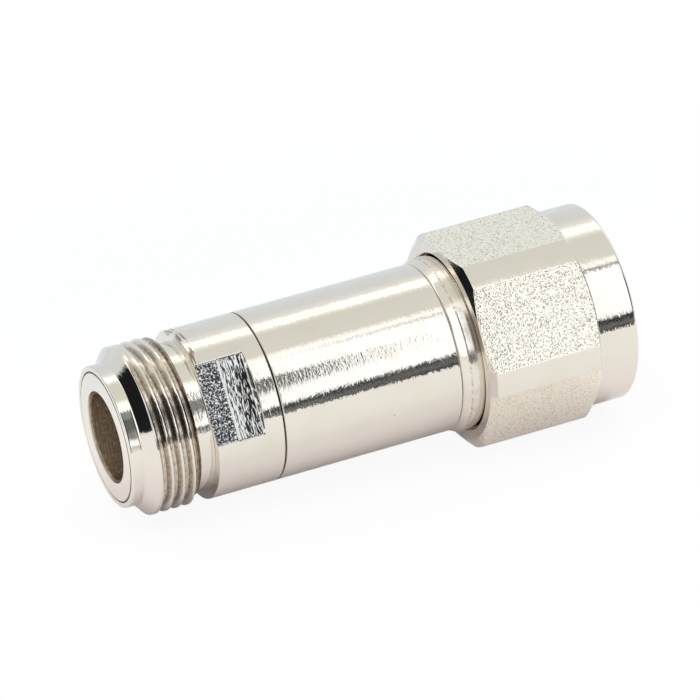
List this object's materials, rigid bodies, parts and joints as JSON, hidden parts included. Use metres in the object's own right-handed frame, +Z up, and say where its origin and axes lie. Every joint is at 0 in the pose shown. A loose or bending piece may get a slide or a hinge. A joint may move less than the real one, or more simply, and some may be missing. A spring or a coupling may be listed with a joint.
{
  "type": "rf attenuator",
  "caption": "Straight coaxial fixed attenuator: a round plated tube with a threaded socket at one end and a plug with a free-turning hexagonal coupling nut at the other.",
  "frame": {"origin": "middle of the whole length, on the axis", "axes": "+X along the axis from the jack to the plug, +Z up, square to the nut flat that it lies on"},
  "size_m": [0.0496, 0.0208, 0.019],
  "materials": {
    "nickel_plate": "bright nickel plate on turned brass",
    "contact_plate": "bright plate on turned bronze",
    "gold_plate": "gold plate on turned bronze",
    "bead_plastic": "turned white fluoroplastic",
    "chip_ceramic": "lapped alumina with a dark resistive film",
    "carrier_brass": "milled brass",
    "gasket_rubber": "moulded silicone",
    "ring_bronze": "spring bronze"
  },
  "bodies": {
    "housing": {"jack_shell": "nickel_plate", "jack_sleeve": "contact_plate", "jack_contact": "gold_plate", "jack_bead": "bead_plastic", "body_tube": "nickel_plate", "attenuator_chip": "chip_ceramic", "chip_carrier_upper": "carrier_brass", "chip_carrier_lower": "carrier_brass", "plug_body": "nickel_plate", "plug_bead": "bead_plastic", "plug_pin": "gold_plate", "plug_outer_contact": "contact_plate", "gasket": "gasket_rubber"},
    "retaining_ring": {"retaining_ring": "ring_bronze"},
    "coupling_nut": {"coupling_nut": "nickel_plate"}
  },
  "joints": [
    {"name": "nut_float", "type": "slide", "parent": "housing", "child": "retaining_ring", "axis": [1, 0, 0], "range_m": [-0.0002, 0.0002]},
    {"name": "nut_spin", "type": "hinge", "parent": "retaining_ring", "child": "coupling_nut", "pos_m": [0.01128, 0, 0], "axis": [1, 0, 0], "continuous": true}
  ]
}
